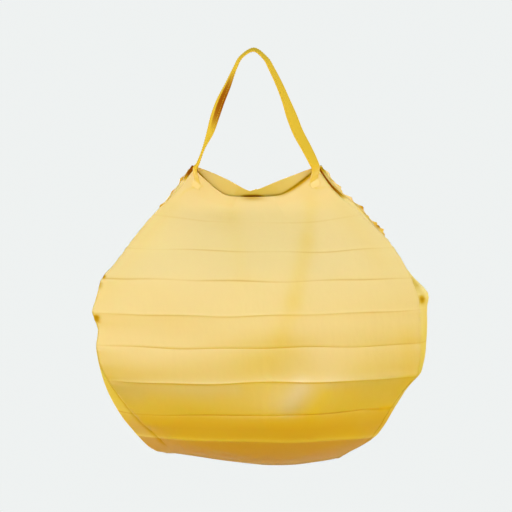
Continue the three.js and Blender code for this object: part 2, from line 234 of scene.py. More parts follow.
# The shadow of the mouth, by how far right it is: on the inner face of the back, where it meets the
# front's rim, and on the rim itself. The first is darkest a little above the rim and fades below it.
MOUTH_LINE_COLUMNS = ("x", "shade", "reach")
MOUTH_LINE_ROWS = (
    (-95, 0.8, 1.4),
    (-75, 0.8, 1.4),
    (-65, 0.4, 0.8),
    (-58, 0, 0.5),
    (-40, 0, 0.5),
    (-20, 0, 0.6),
    (-13, 1, 1.6),
    (8, 1, 1.6),
    (15, 0.1, 0.9),
    (28, 0.25, 1.2),
    (45, 0.5, 1.8),
    (95, 0.6, 2),
)
RIM_LINE_ROWS = ((25, 0, 2), (40, 0.3, 2.2), (80, 0.4, 2.4), (90, 0, 2))
MOUTH_LINE_SHIFT = 0.8
MOUTH_LINE_DEPTH = 5

# Painted shade: how much darker the bands above the base are, by level. Painted light: the share of the
# paler, less glossy second dye on the gussets.
BASE_PAINTED_SHADE = ((6.95, 0), (7.1, 0.6), (7.5, 1.15), (7.85, 0.95), (7.93, 0.4), (8.12, 2))
GUSSET_PAINTED_LIGHT = 0.6

# Painted sheen along soft lines where the hanging front turns away from the light or into it: how much
# sheen they lose or gain, how far they fade, and the places they run between.
PAINTED_SHEEN_COLUMNS = ("amount", "reach", "x_a", "z_a", "x_b", "z_b")
PAINTED_SHEEN_LINES = (
    (-0.22, 11, 78, -205, 72, -248),
    (-0.3, 13, 70, -262, 54, -330),
    (-0.22, 15, 50, -345, 38, -378),
    (-0.2, 22, 30, -398, 2, -420),
    (-0.12, 15, -30, -208, -16, -300),
    (-0.2, 18, -115, -208, -150, -250),
    (-0.1, 18, -165, -280, -205, -330),
    (-0.13, 18, 115, -208, 169, -284),
    (-0.22, 14, 205, -385, 208, -425),
    (0.1, 24, -190, -418, -55, -418),
    (0.15, 20, 86, -410, 100, -430),
    (0.6, 9, -188, -448, -25, -450),
    (0.8, 13, -178, -458, -158, -462),
    (0.3, 12, -140, -456, -60, -462),
    (0.95, 13, 62, -450, 46, -478),
    (-0.4, 9, 97, -455, 76, -487),
    (0.55, 8, 100, -444, 190, -440),
    (0.35, 12, 148, -456, 178, -460),
    (-0.2, 14, -140, -500, -86, -516),
    (-0.3, 13, 28, -500, 128, -508),
    (0.2, 9, 145, -500, 158, -506),
    (-0.3, 1.6, -94, -190, -83, -185),
    (-0.3, 1.6, -82, -185, -70, -183),
    (-0.3, 1.6, 75, -181, 84, -186),
    (-0.3, 1.6, 85, -186, 101, -184),
    (-0.9, 4, 170, -481, 186, -479),
)

# Puckers along the side seams: height, spacing down the seam, how far they reach from it, how unevenly
# they are spaced, and the level where they start.
PUCKER_RISE = 0.35
PUCKER_PITCH = 13
PUCKER_REACH = 22
PUCKER_DRIFT = 2
PUCKER_DRIFT_TURN = 5
PUCKER_TOP = 0.6

# Strap: a doubled band that thins at its long edges. Towards its ends it rounds off, thins and lies on
# the front, and takes the panels' dye; each run is two distances from the end.
STRAP_WIDTH = 20
STRAP_WALL = 2.4
STRAP_COLUMNS = 14
STRAP_STEPS = 12
STRAP_EDGE_THIN = 0.65
STRAP_EDGE_POWER = 8
STRAP_SEAT = 0.63
STRAP_SEAT_WALL = 0.24
STRAP_SEAT_RUN = (8, 16)
STRAP_SEWN_RUN = (18, 28.8)
STRAP_END_ROUND = 4
STRAP_END_TAPER = 0.4

# Painted shade where the strap folds under: how sharply it darkens across its width, and where.
STRAP_FOLD = 5
STRAP_FOLD_SHARE = 0.05

# The strap above the mouth, a row for each station from the left end to the right: its place; tilt,
# in degrees, turns its outer face to the front; cup is how deep it folds along its length; shade is
# how much painted shade its front half takes where it folds under; width is a share, less where its
# ends are gathered.
STRAP_STATION_COLUMNS = ("x", "y", "z", "tilt", "cup", "shade", "width")
STRAP_STATIONS = (
    (-80, -6.5, -160.5, 65, 0, 0, 0.35),
    (-75.5, -9, -152, 10, 0, 0, 0.8),
    (-68, -8, -132, 6, 0, 0, 1),
    (-59.5, -7, -111, 27, 0.5, 0, 1),
    (-53.3, -6, -89, 36, 1.5, 0.8, 1),
    (-45.8, -5, -67.5, 34, 2, 1, 1),
    (-35.6, -4, -46, 24, 1.5, 0.8, 1),
    (-25.8, -2.5, -24, 12, 0, 0, 1),
    (-17, -1, -8.5, 10, 0, 0, 1),
    (0, 0, 1.1, 14, 0, 0, 1),
    (15.8, -1, -11, 17, 0, 0, 1),
    (23.4, -2.5, -24, 22, 0, 0, 1),
    (34.2, -4, -46, 27, 0, 0, 1),
    (43.3, -5.5, -67.5, 33, 0.5, 0, 1),
    (51.3, -7, -89, 45, 0.8, 0, 1),
    (60, -8, -111, 45, 0.8, 0, 1),
    (71, -9, -132, 45, 0, 0, 0.95),
    (80.5, -9, -151, 55, 0, 0, 0.75),
    (83.5, -6.5, -160, 78, 0, 0, 0.6),
)

# Where the strap is sewn on: places on the front, across counted outwards from its centre, and width.
LEFT_SEAT = ((0.855, 0.2, 0.6), (0.868, 0.15, 0.52), (0.88, 0.1, 0.45))
RIGHT_SEAT = ((0.875, 0.09, 0.6), (0.865, 0.14, 0.62), (0.85, 0.2, 0.66))

# Ruffle: the gathered selvedge that stands out of each back seam. Its waves drift along it, swing more
# and less, scallop its free edge and curl towards it; it leans to the side, away from the bag.
RUFFLE_WALL = 0.9
RUFFLE_WAVE = 17
RUFFLE_STEPS = 20
RUFFLE_COLUMNS = 10
RUFFLE_GAP = 0.2
RUFFLE_LEAN = 2
RUFFLE_DRIFT = 0.25
RUFFLE_DRIFT_TURN = 11
RUFFLE_SWING = 2.2
RUFFLE_EVEN = 0.75
RUFFLE_UNEVEN = 0.35
RUFFLE_UNEVEN_TURN = 23
RUFFLE_SCALLOP = 0.15
RUFFLE_CURL = 1.3
RUFFLE_WIDTH_COLUMNS = ("level", "left", "right")
RUFFLE_WIDTHS = (
    (0.06, 1.2, 2.5),
    (0.15, 1.2, 4),
    (0.25, 1.2, 7),
    (0.4, 1.5, 6.5),
    (0.47, 1.8, 3),
    (0.53, 1.8, 1),
    (0.65, 2.2, 3.8),
    (0.8, 2.2, 2),
    (0.95, 2.2, 3),
    (1.1, 2.2, 1.2),
    (1.3, 2.2, 1.2),
    (1.5, 2.2, 6.2),
    (1.65, 2.2, 6),
    (1.8, 1.8, 4.2),
    (2.3, 1.5, 1.2),
)

# Painted shade in the tucks of the right ruffle.
TUCK_COLUMNS = ("level", "reach", "shade")
TUCK_ROWS = ((0.97, 0.05, 0.9), (1.5, 0.05, 0.9))

# Snap: two plastic halves between the hems, in the middle of the mouth. Each half is a share of half the
# thickness; its rim and the slope inside it are shares of the radius.
SNAP_RADIUS = 5.5
SNAP_THICK = 3
SNAP_LEVEL = 0.13
SNAP_SIDES = 40
SNAP_HALF_SHARE = 0.96
SNAP_RIM = 0.28
SNAP_SLOPE = 0.12
SNAP_DISH = 0.35
SNAP_BEVEL = 0.3
SNAP_BEVEL_STEPS = 3
SNAP_FACING = 0.9
SNAP_SMOOTH = 40

# Stitches: length, spacing and thickness of one stitch, how far they lie from the strap's edge, and the
# shape of one: places along it, how round it is there and how far it rises.
STITCH_LENGTH = 2.4
STITCH_PITCH = 3.4
STITCH_THICK = 0.5
STITCH_SIDES = 6
STRAP_STITCH_INSET = 2.2
STITCH_STATIONS = ((-0.5, 0.25, -0.5), (-0.3, 0.5, 0.1), (0.3, 0.5, 0.1), (0.5, 0.25, -0.5))

# Finish of the cloth. Its dye is cloudy: scale and detail of the clouds, and how uneven they make tone
# and roughness. Crests take a share of a paler tone as painted highlight, and folds a share of a deeper
# tone as painted shade. Painted shadow in slits has its own colour, and painted shade takes gloss away
# in slits, and in folds up to a limit.
CLOUD_SCALE = 9
CLOUD_DETAIL = 3
CLOUD_TONE = 0.22
CLOUD_ROUGHNESS = 0.12
CREST_HIGHLIGHT_SHARE = 0.45
FOLD_SHADE_SHARE = 0.55
PAINTED_SHADOW_COLOUR = (0.33, 0.1, 0.003, 1)
SLIT_SHEEN_SHADE = 2.5
FOLD_SHEEN_SHADE = 0.6
FOLD_SHEEN_SHADE_LIMIT = 0.8

# Its soft creases: scale, detail and stretch of the long and of the fine ones, and the share of the fine
# ones. Creases and weave are bumps, by strength and by height in metres.
LONG_CREASES = (30, 2, (2.2, 2.2, 1))
FINE_CREASES = (160, 3, (1, 1, 0.5))
FINE_SHARE = 0.25
CREASE_BUMP = (0.35, 0.0012)
WEAVE_BUMP = (0.1, 0.00005)

# Its sheen is a coat over a matt cloth, and a little light seeps through the cloth.
CLOTH_IOR = 1.6
SHEEN_IOR = 2.7
SHEEN_ROUGHNESS = 0.43
SEEP_RADIUS = (1, 0.5, 0.1)
SEEP_SCALE = 0.0015

# Camera at the photograph's angle, and the pale floor below the hanging bag.
CAMERA_AIM = Vector((0.0027, 0, -0.278))
CAMERA_DISTANCE = 3.2
CAMERA_ELEVATION = 3
CAMERA_LENS = 165.8
FLOOR_HEIGHT = -1.1
FLOOR_SIZE = 60
BACKDROP = (0.86, 0.885, 0.88, 1)

# Light: the red, green and blue of the fill by how far up it comes from, -1 from straight below, and how
# much stronger it is from the left.
FILL_ROWS = (
    (-1, 0.06, 0.03, 0.015),
    (-0.6, 0.25, 0.1, 0.06),
    (-0.3, 3.85, 3.2, 2.15),
    (0, 0.94, 0.97, 1.02),
    (0.4, 0.75, 0.75, 0.7),
    (1, 0.6, 0.6, 0.56),
)
FILL_FROM_LEFT = 0.15

# Panels of light that give the gloss, in metres: a ring of walls round the bag from the front on, each
# with its bottom and its glow, a ceiling, and one low behind the bag that faces up.
WALL_DISTANCE = 3.2
WALL_TOP = 3
WALL_COLUMNS = ("bottom", "glow")
WALL_ROWS = ((-0.4, 2.5), (-0.4, 1.9), (-0.4, 2), (-0.4, 2), (-0.4, 2), (-1, 2.3))
CEILING_GLOW = 2.5
UNDER_PLACE = (0, 0.7, -1)
UNDER_AIM = (0, 0.7, 0)
UNDER_SIZE = (1.2, 1.2)
UNDER_GLOW = 1.6


# Tables and lines

def column_of(columns, rows, name):
    return np.array([row[columns.index(name)] for row in rows], float)


def through_rows(columns, rows, level):
    """Each column of a table at any level, smooth between its rows."""
    table = np.array(rows, float)
    at = table[:, 0]
    slope = np.gradient(table, at, axis=0)
    level = np.asarray(level, float)
    k = np.clip(np.searchsorted(at, level, side="right") - 1, 0, len(at) - 2)
    gap = (at[k + 1] - at[k])[..., None]
    s = (level - at[k])[..., None] / gap
    value = (1 + 2 * s) * (1 - s) ** 2 * table[k] + s * (1 - s) ** 2 * gap * slope[k]
    value += s**2 * (3 - 2 * s) * table[k + 1] + s**2 * (s - 1) * gap * slope[k + 1]
    return {name: value[..., i] for i, name in enumerate(columns)}


SECTION_COLUMNS = FOLD_COLUMNS + SIDE_COLUMNS
SECTION_ROWS = tuple(fold + side for fold, side in zip(FOLD_ROWS, SIDE_ROWS))
FOLD_LEVELS = column_of(FOLD_COLUMNS, FOLD_ROWS, "level")
FOLD_RIDGES = column_of(FOLD_COLUMNS, FOLD_ROWS, "ridge")
FOLD_PRESSES = column_of(FOLD_COLUMNS, FOLD_ROWS, "press")
FOLD_LINES = column_of(FOLD_COLUMNS, FOLD_ROWS, "line")


def section_at(level):
    return through_rows(SECTION_COLUMNS, SECTION_ROWS, level)


def blend(a, b, share):
    return a + (b - a) * share


def unit(vectors):
    return vectors / np.maximum(np.linalg.norm(vectors, axis=-1, keepdims=True), 1e-9)


def away_from_line(place, start, end):
    """How far each place is from the line between two places."""
    run = end - start
    share = np.clip((place - start) @ run / (run @ run), 0, 1)
    return np.linalg.norm(place - start - share[..., None] * run, axis=-1)


def length_along(points):
    """How far each place of a line is from its first place, along the line."""
    return np.concatenate([[0], np.cumsum(np.linalg.norm(np.diff(points, axis=0), axis=1))])


def places_at(at, known, points):
    """Places between those that are known, by a level or a length."""
    return np.stack([np.interp(at, known, points[:, i]) for i in range(3)], -1)


# The bag's surface, without its pleats

def dome_depth(section, across, fullness):
    """Distance forward of the front, or back of the back, across it."""
    dome = 1 - np.abs(across) ** DOME_POWER
    lobe = 4 * across**2 * (1 - across**2)
    deep = section["edge"] + (section["depth"] * fullness - section["edge"]) * dome
    deep = deep + section["lobe"] * lobe
    shut = np.clip(np.abs(across) / SHUT_REACH, 0, 1) ** 2
    shut = shut * (1 - np.minimum(np.abs(across), 1) ** SHUT_POWER) * np.where(across < 0, 1, RIGHT_SHUT)
    return deep * (1 - section["shut"] * shut)


def hinge(value):
    """Nothing below zero and the value itself above it, with a soft turn between."""
    return (value + np.hypot(value, DROOP_ROUND)) / 2


def droop(section, across, panel):
    """How much higher a place hangs than the lowest part of the front or the back, as a share."""
    away = np.abs(across + section["dip"] * (1 - across**2))
    turn = np.sign(across) if panel == "back" else across > 0
    away = away * (1 - section[panel + "_skew"] * turn * (1 - np.minimum(np.abs(across), 1)))
    flat = section[panel + "_flat"]
    rise = (hinge(away - flat) - hinge(-flat)) / (hinge(1 - flat) - hinge(-flat))
    return np.maximum(rise, 0) ** section[panel + "_sag"]


def wander(level, x):
    """How far the pressed folds of the front stray up or down."""
    long_wave = np.sin(x / WANDER_LONG + WANDER_LONG_TURN * level)
    short_wave = np.sin(x / WANDER_SHORT + WANDER_SHORT_TURN * level)
    within = np.clip(level - WANDER_TOP, 0, 1) * np.clip(WANDER_BOTTOM - level, 0, 1)
    return WANDER_RISE * long_wave * short_wave * within


def front_point(level, across):
    section = section_at(level)
    x = blend(section["left"], section["right"], (across + 1) / 2)
    z = blend(section["middle"], section["side"], droop(section, across, "front"))
    z = z + section["slant"] * across + wander(level, x) * (1 - across**WANDER_POWER)
    return np.stack([x, -dome_depth(section, across, 1), z], -1)


def back_point(level, across):
    section = section_at(level)
    left = section["left"] - section["left_turn"]
    right = section["right"] + section["right_turn"]
    x = blend(left, right, (across + 1) / 2)
    middle = section["middle"] + section["rise"]
    z = blend(middle, section["side"] + section["lift"], droop(section, across, "back"))
    z = z + (section["slant"] + section["tip"]) * across
    return np.stack([x, dome_depth(section, across, BACK_FULLNESS), z], -1)


def gusset_point(side, level, back):
    """A gusset, from the front edge at back = -1 to the back edge at back = 1."""
    section = section_at(level)
    name = "left" if side < 0 else "right"
    share = (back + 1) / 2
    bulge = section[name + "_bulge"] * (1 - np.abs(back) ** TUCK_POWER)
    x = section[name] + side * (section[name + "_turn"] * share + bulge)
    z = section["side"] + section["lift"] * share + side * (section["slant"] + section["tip"] * share)
    return np.stack([x, section["edge"] * back, z], -1)


# Pleats and folds, as a height along the way out of the surface

def fold_pinch(level, fold, ridge):
    """How near a place is to a pressed fold: a fold that stands out curls slowly above it and turns
    back sharply below it, and one that lies in does the opposite."""
    below = (level - fold) * PLEAT_PITCH
    sharp = (below > 0) == (ridge > 0)
    return np.exp(-np.abs(below) / np.where(sharp, PINCH_SHORT, PINCH_LONG))


def nearest_fold(level):
    """The pressed fold nearest to each level, which way it lies and how crisp it is."""
    fold = np.clip(np.round(level), 1, FOLD_LEVELS[-1] - 1)
    ridge = np.interp(fold, FOLD_LEVELS, FOLD_RIDGES)
    press = np.interp(fold, FOLD_LEVELS, FOLD_PRESSES)
    return fold, ridge, press


def pleat_height(level):
    """Pressed pleats: flat bands between folds, and a crisp pinch along each fold."""
    band = np.interp(level, FOLD_LEVELS, FOLD_RIDGES) * PLEAT_RISE
    fold, ridge, press = nearest_fold(level)
    pinch = np.sign(ridge) * press * PINCH_RISE * fold_pinch(level, fold, ridge)
    share = level - np.floor(level)
    swell = BAND_SWELL * np.sin(np.pi * share) ** 2 * (level > 1)
    return band + pinch + swell


def drape_height(drapes, level, across):
    """Soft folds that hang from the strap's ends and over the full belly."""
    height = np.zeros(np.broadcast(level, across).shape)
    for row in drapes:
        drape = dict(zip(DRAPE_COLUMNS, row))
        size = np.array([drape["reach"], drape["fade"]])
        start = np.array([drape["across_a"], drape["level_a"]]) / size
        end = np.array([drape["across_b"], drape["level_b"]]) / size
        place = np.stack(np.broadcast_arrays(across, level), -1) / size
        height = height + drape["rise"] * np.exp(-(away_from_line(place, start, end) ** 2))
    return height * (1 - np.minimum(np.abs(across), 1) ** DRAPE_FADE)


def crease_height(points):
    """Small uneven creases, worked out from the place on the bag."""
    flat = points.reshape(-1, 3)
    height = np.zeros(len(flat))
    for row in CREASE_ROWS:
        crease = dict(zip(CREASE_COLUMNS, row))
        size = np.array([crease["across"], crease["across"], crease["down"]])
        for i, place in enumerate(flat / size):
            height[i] += crease["height"] * noise.noise(Vector(place))
    return height.reshape(points.shape[:-1])


def pucker_height(points, level, from_seam):
    """Puckers where the pleats are caught in a side seam."""
    drift = PUCKER_DRIFT * np.sin(level * PUCKER_DRIFT_TURN)
    wave = np.sin(points[..., 2] * 2 * np.pi / PUCKER_PITCH + drift)
    return PUCKER_RISE * wave * np.exp(-from_seam / PUCKER_REACH) * np.clip(level - PUCKER_TOP, 0, 1)


# The bag as one ring of cloth, cut into its panels at the four side seams

def pleat_levels():
    last = int(FOLD_LEVELS[-1])
    hem_edges = (HEM_LEVEL - HEM_STEP / 2, HEM_LEVEL + HEM_STEP / 2)
    rows = {*np.linspace(0, hem_edges[0], HEM_ROWS), hem_edges[1], last}
    rows.update(share for share in PLEAT_SHARES if share > hem_edges[1])
    for fold in range(1, last):
        rows.update(fold + share for share in PLEAT_SHARES)
    return np.array(sorted(rows))


LEVELS = pleat_levels()
PANELS = ("front_panel", "gusset_right", "back_panel", "gusset_left")
PANEL_COLUMNS = (FRONT_COLUMNS, GUSSET_COLUMNS, BACK_COLUMNS, GUSSET_COLUMNS)


def smooth_surface(panel, level, t):
    """A panel's surface without pleats; t runs from 0 to 1 along it, anticlockwise from above."""
    if panel == "front_panel":
        return front_point(level, 2 * t - 1)
    if panel == "gusset_right":
        return gusset_point(1, level, 2 * t - 1)
    if panel == "back_panel":
        return back_point(level, 1 - 2 * t)
    return gusset_point(-1, level, 1 - 2 * t)


def relief(panel, points, level, t):
    """How far the pleats and folds move a panel's surface outwards."""
    section = section_at(level)
    span = section["right"] - section["left"]
    from_middle = np.abs(2 * t - 1)
    if panel.startswith("gusset"):
        span = 2 * section["edge"]
        from_middle = 1.0
    height = pleat_height(level) * (1 - EDGE_PRESSING * from_middle**EDGE_POWER) + crease_height(points)
    height = height + pucker_height(points, level, np.minimum(t, 1 - t) * span)
    if panel == "front_panel":
        height = height + drape_height(FRONT_DRAPES, level, 2 * t - 1)
    if panel == "back_panel":
        height = height + drape_height(BACK_DRAPES, level, 1 - 2 * t)
    return height


def ring_normals(points):
    """Ways out of a closed ring of columns, from its neighbours along the ring and down it."""
    along = np.roll(points, -1, 1) - np.roll(points, 1, 1)
    down = np.gradient(points, axis=0)
    return unit(np.cross(down, along))


def bag_ring():
    """Middle surface, ways out and first column of each panel, for the whole ring of cloth."""
    level = LEVELS[:, None]
    smooth, places, starts = [], [], [0]
    for panel, columns in zip(PANELS, PANEL_COLUMNS):
        t = np.linspace(0, 1, columns, endpoint=False)[None, :]
        smooth.append(smooth_surface(panel, level, t))
        places.append(t)
        starts.append(starts[-1] + columns)
    heights = [relief(panel, points, level, t) for panel, points, t in zip(PANELS, smooth, places)]
    ring = np.concatenate(smooth, 1)
    ring = ring + ring_normals(ring) * np.concatenate(heights, 1)[..., None]
    return ring, ring_normals(ring), starts


RING, RING_OUT, RING_STARTS = bag_ring()


# Meshes

def select_only(piece):
    bpy.ops.object.select_all(action="DESELECT")
    piece.select_set(True)
    bpy.context.view_layer.objects.active = piece


def add_piece(name, vertices, faces):
    mesh = bpy.data.meshes.new(name)
    mesh.from_pydata(np.asarray(vertices) * MM, [], faces)
    piece = bpy.data.objects.new(name, mesh)
    bpy.context.collection.objects.link(piece)
    mesh.validate()
    select_only(piece)
    bpy.ops.object.shade_smooth()
    return piece


def cloth_wall(name, points, out, half):
    """A closed wall about rows of places on its middle surface, with a map of the flat cloth."""
    rows, columns = points.shape[:2]
    shift = out * np.broadcast_to(half, (rows, columns))[..., None]
    vertices = np.concatenate([(points + shift).reshape(-1, 3), (points - shift).reshape(-1, 3)])
    outer = np.arange(rows * columns).reshape(rows, columns)
    inner = outer + rows * columns
    quads = np.stack([outer[:-1, :-1], outer[1:, :-1], outer[1:, 1:], outer[:-1, 1:]], -1).reshape(-1, 4)
    faces = [quads, quads[:, ::-1] + rows * columns]
    edge = np.concatenate([outer[0, ::-1], outer[1:, 0], outer[-1, 1:], outer[-2:0:-1, -1]])
    after = np.roll(edge, -1)
    faces.append(np.stack([after, edge, edge + rows * columns, after + rows * columns], -1))
    piece = add_piece(name, vertices, np.concatenate(faces).tolist())
    map_cloth(piece, points)
    return piece


def map_cloth(piece, points):
    """A map of the flat cloth, in metres, on both faces of a wall."""
    across = np.linalg.norm(np.diff(points, axis=1), axis=-1)
    down = np.linalg.norm(np.diff(points, axis=0), axis=-1).mean(1)
    u = np.concatenate([np.zeros((len(points), 1)), np.cumsum(across, 1)], 1)
    u = u - u[:, -1:] / 2 + u[:, -1].max() / 2
    v = np.concatenate([[0], np.cumsum(down)])[:, None] + np.zeros_like(u)
    place = np.stack([u, v], -1).reshape(-1, 2) * MM
    place = np.concatenate([place, place])
    layer = piece.data.uv_layers.new(name="cloth")
    loops = np.zeros(len(piece.data.loops), int)
    piece.data.loops.foreach_get("vertex_index", loops)
    layer.data.foreach_set("uv", place[loops].ravel())


def mark(piece, name, outer, inner=None):
    """Keeps a value at each place of a wall's outer and inner face with its mesh, for its finish and its
    painted light and shade.
    """
    inner = outer if inner is None else inner
    marks = piece.data.attributes.new(name, "FLOAT", "POINT")
    marks.data.foreach_set("value", np.concatenate([outer.ravel(), inner.ravel()]))


# Panels

def hem_half(level):
    share = np.clip((level - HEM_LEVEL) / HEM_STEP + 0.5, 0, 1)
    return blend(HEM_WALL, WALL, share) / 2


def painted_fold_shading(points):
    """Painted highlight on pressed crests, and painted shade along folds and towards the base."""
    fold, ridge, press = nearest_fold(LEVELS)
    below = (LEVELS - fold) * PLEAT_PITCH
    line = np.exp(-(((below - LINE_SHIFT * np.sign(ridge)) / LINE_REACH) ** 2))
    line = line * np.interp(fold, FOLD_LEVELS, FOLD_LINES)
    crest = CREST_PAINTED_HIGHLIGHT * press * np.maximum(np.sign(ridge), 0) * fold_pinch(LEVELS, fold, ridge)
    base = np.interp(LEVELS, *np.transpose(BASE_PAINTED_SHADE))
    streaks = np.sin(points[..., 0] / WANDER_SHORT + LINE_TURN * fold[:, None])
    return (crest - base)[:, None] - line[:, None] * (1 + LINE_UNEVEN * streaks)


def painted_sheen(points):
    """How much painted sheen each place of the front gains or loses along its soft lines."""
    place = points[..., [0, 2]]
    sheen = np.zeros(points.shape[:2])
    for row in PAINTED_SHEEN_LINES:
        line = dict(zip(PAINTED_SHEEN_COLUMNS, row))
        start = np.array([line["x_a"], line["z_a"]])
        end = np.array([line["x_b"], line["z_b"]])
        away = away_from_line(place, start, end) / line["reach"]
        sheen = sheen + line["amount"] * np.exp(-(away**2))
    return sheen


def spot_shade(panel, points):
    """Painted shade in dimples and tucks on a panel."""
    dark = np.zeros(points.shape[:2])
    for row in SPOT_ROWS:
        spot = dict(zip(SPOT_COLUMNS, row))
        if spot["panel"] == panel:
            right = (points[..., 0] - spot["x"]) / spot["reach_x"]
            up = (points[..., 2] - spot["z"]) / spot["reach_z"]
            dark = dark + spot["shade"] * np.exp(-(np.hypot(right, up) ** 2))
    return dark


def gusset_shade(panel, points):
    """Painted shade in spots near the front of a gusset, in the slit before its ruffle, and along its
    lower front seam.
    """
    spots = spot_shade(panel, points) * np.clip(-points[..., 1] / SPOT_FADE - SPOT_START, 0, 1)
    back = np.linspace(0, 1, points.shape[1])
    if panel == "gusset_left":
        back = 1 - back
    above_end = np.clip((SLIT_ENDS[panel] - LEVELS[:, None]) * SLIT_END_FADE, 0, 1)
    slit = np.clip((back - SLIT_START) * SLIT_FADE, 0, 1) * above_end
    seam = np.interp(LEVELS, SEAM_LEVELS, (0, SEAM_SHADE, SEAM_SHADE, 0))
    return spots + slit + seam[:, None] * np.exp(-((back / SEAM_REACH) ** 2))


def front_shade(points):
    """Painted shade in spots on the front, and the painted shadow on the right of its rim."""
    within = np.clip(points[..., 0], RIM_LINE_ROWS[0][0], RIM_LINE_ROWS[-1][0])
    line = through_rows(MOUTH_LINE_COLUMNS, RIM_LINE_ROWS, within)
    below = points[0, :, 2] - points[..., 2]
    return spot_shade("front_panel", points) + line["shade"] * np.exp(-((below / line["reach"]) ** 2))


def mouth_shade(points):
    """The shadow inside the mouth, where the back goes down behind the front's rim."""
    rim = RING[0, : RING_STARTS[1] + 1]
    above = points[..., 2] - np.interp(points[..., 0], rim[:, 0], rim[:, 2])
    line = through_rows(MOUTH_LINE_COLUMNS, MOUTH_LINE_ROWS, points[..., 0])
    edge = np.clip(above - MOUTH_LINE_SHIFT, 0, None) / line["reach"]
    depth = np.clip(MOUTH_LINE_SHIFT - above, 0, None) / MOUTH_LINE_DEPTH
    return line["shade"] * np.exp(-(edge**2) - depth)


def panel_shade(panel, points):
    """Painted shade of a panel in dimples, slits and the mouth, on its outer and on its inner face."""
    outer = np.zeros(points.shape[:2])
    inner = np.zeros(points.shape[:2])
    if panel == "front_panel":
        outer = front_shade(points)
    elif panel == "back_panel":
        inner = mouth_shade(points)
    else:
        outer = gusset_shade(panel, points)
    return np.clip(outer, 0, 1), np.clip(inner, 0, 1)


def make_panel(panel):
    order = PANELS.index(panel)
    columns = np.arange(RING_STARTS[order], RING_STARTS[order + 1] + 1) % RING.shape[1]
    points = RING[:, columns]
    piece = cloth_wall(panel + "_cloth", points, RING_OUT[:, columns], hem_half(LEVELS)[:, None])
    plain = np.zeros(points.shape[:2])
    # Painted highlight and shade of the folds; the inner face takes more painted shade.
    fold = painted_fold_shading(points)
    mark(piece, "fold", fold, fold - INNER_PAINTED_SHADE)
    if panel == "front_panel":
        mark(piece, "sheen", painted_sheen(points))
    outer, inner = panel_shade(panel, points)
    mark(piece, "shade", outer, inner)
    # Painted light: the gussets take a share of the paler, less glossy second dye.
    second = GUSSET_PAINTED_LIGHT if panel.startswith("gusset") else 0
    mark(piece, "second", plain + second, plain)
    # The inner face takes the inner dye: painted light and shade inside the bag.
    mark(piece, "inner", plain, plain + 1)
    return piece


def front_frame(level, across):
    """A place on the finished front, and the way out of it."""
    step = 0.004
    points = front_point(level, across)
    height = pleat_height(level) + drape_height(FRONT_DRAPES, level, across) + crease_height(points)
    along = front_point(level, across + step) - front_point(level, across - step)
    down = front_point(level + step, across) - points
    out = unit(np.cross(down, along))
    return points + out * height[..., None], out


# Strap

def seat_station(side, place, shares):
    across, level, width = place
    section = section_at(np.array(level))
    reach = width * STRAP_WIDTH / float(section["right"] - section["left"])
    points, out = front_frame(np.full(len(shares), level), side * (across + shares * reach))
    return points + out * STRAP_SEAT, out


def free_station(order, shares):
    station = dict(zip(STRAP_STATION_COLUMNS, STRAP_STATIONS[order]))
    before = np.array(STRAP_STATIONS[max(order - 1, 0)][:3], float)
    after = np.array(STRAP_STATIONS[min(order + 1, len(STRAP_STATIONS) - 1)][:3], float)
    run = unit(after - before)
    turn = math.radians(station["tilt"])
    face = unit(np.array([-run[2], 0, run[0]])) * math.cos(turn)
    face = face + np.array([0, -math.sin(turn), 0])
    face = unit(face - run * (face @ run))
    across = np.cross(face, run)
    centre = np.array([station["x"], station["y"], station["z"]])
    points = centre + across * (shares * station["width"] * STRAP_WIDTH / 2)[:, None]
    points = points + face * (station["cup"] * (0.5 - np.abs(shares)))[:, None]
    return points, np.repeat(face[None, :], len(shares), 0)


def smooth_run(stations, steps):
    """A smooth run through stations that are evenly counted, with some steps between each two."""
    order = np.arange(len(stations), dtype=float)
    at = np.linspace(0, len(stations) - 1, (len(stations) - 1) * steps + 1)
    rows = np.concatenate([order[:, None], stations.reshape(len(stations), -1)], 1)
    names = tuple(range(rows.shape[1]))
    values = through_rows(names, rows, at)
    flat = np.stack([values[name] for name in names[1:]], -1)
    return flat.reshape((len(at),) + stations.shape[1:])


def strap_run(shares):
    """The strap's middle surface and its outer face, at shares from -1 to 1 across its width."""
    stations = [seat_station(-1, place, shares) for place in LEFT_SEAT]
    stations += [free_station(order, shares) for order in range(len(STRAP_STATIONS))]
    stations += [seat_station(1, place, shares) for place in RIGHT_SEAT]
    points = smooth_run(np.array([station[0] for station in stations]), STRAP_STEPS)
    out = unit(smooth_run(np.array([station[1] for station in stations]), STRAP_STEPS))
    return points, out


def make_strap():
    shares = np.linspace(-1, 1, STRAP_COLUMNS + 1)
    points, out = strap_run(shares)
    middle = points[:, STRAP_COLUMNS // 2]
    far = length_along(middle)
    to_end = np.minimum(far, far[-1] - far)
    rounding = np.clip(1 - to_end / STRAP_END_ROUND, 0, 1) ** 2
    narrow = np.sqrt(1 - rounding * STRAP_END_TAPER)
    points = middle[:, None] + (points - middle[:, None]) * narrow[:, None, None]
    sewn = np.interp(to_end, STRAP_SEWN_RUN, (1, 0))
    wall = np.interp(to_end, STRAP_SEAT_RUN, (STRAP_SEAT_WALL, STRAP_WALL))
    half = wall[:, None] / 2 * (1 - STRAP_EDGE_THIN * np.abs(shares) ** STRAP_EDGE_POWER)
    piece = cloth_wall("handle_strap_band", points, out, half)
    # Painted shade on the front half of the strap where it folds under.
    shades = column_of(STRAP_STATION_COLUMNS, STRAP_STATIONS, "shade")
    shades = np.concatenate([np.zeros(len(LEFT_SEAT)), shades, np.zeros(len(RIGHT_SEAT))])
    along = smooth_run(shades[:, None], STRAP_STEPS)
    under = np.clip(0.5 - (shares - STRAP_FOLD_SHARE) * STRAP_FOLD, 0, 1)
    mark(piece, "shade", along * under)
    mark(piece, "second", sewn[:, None] + np.zeros_like(shares))
    return piece


# Ruffles

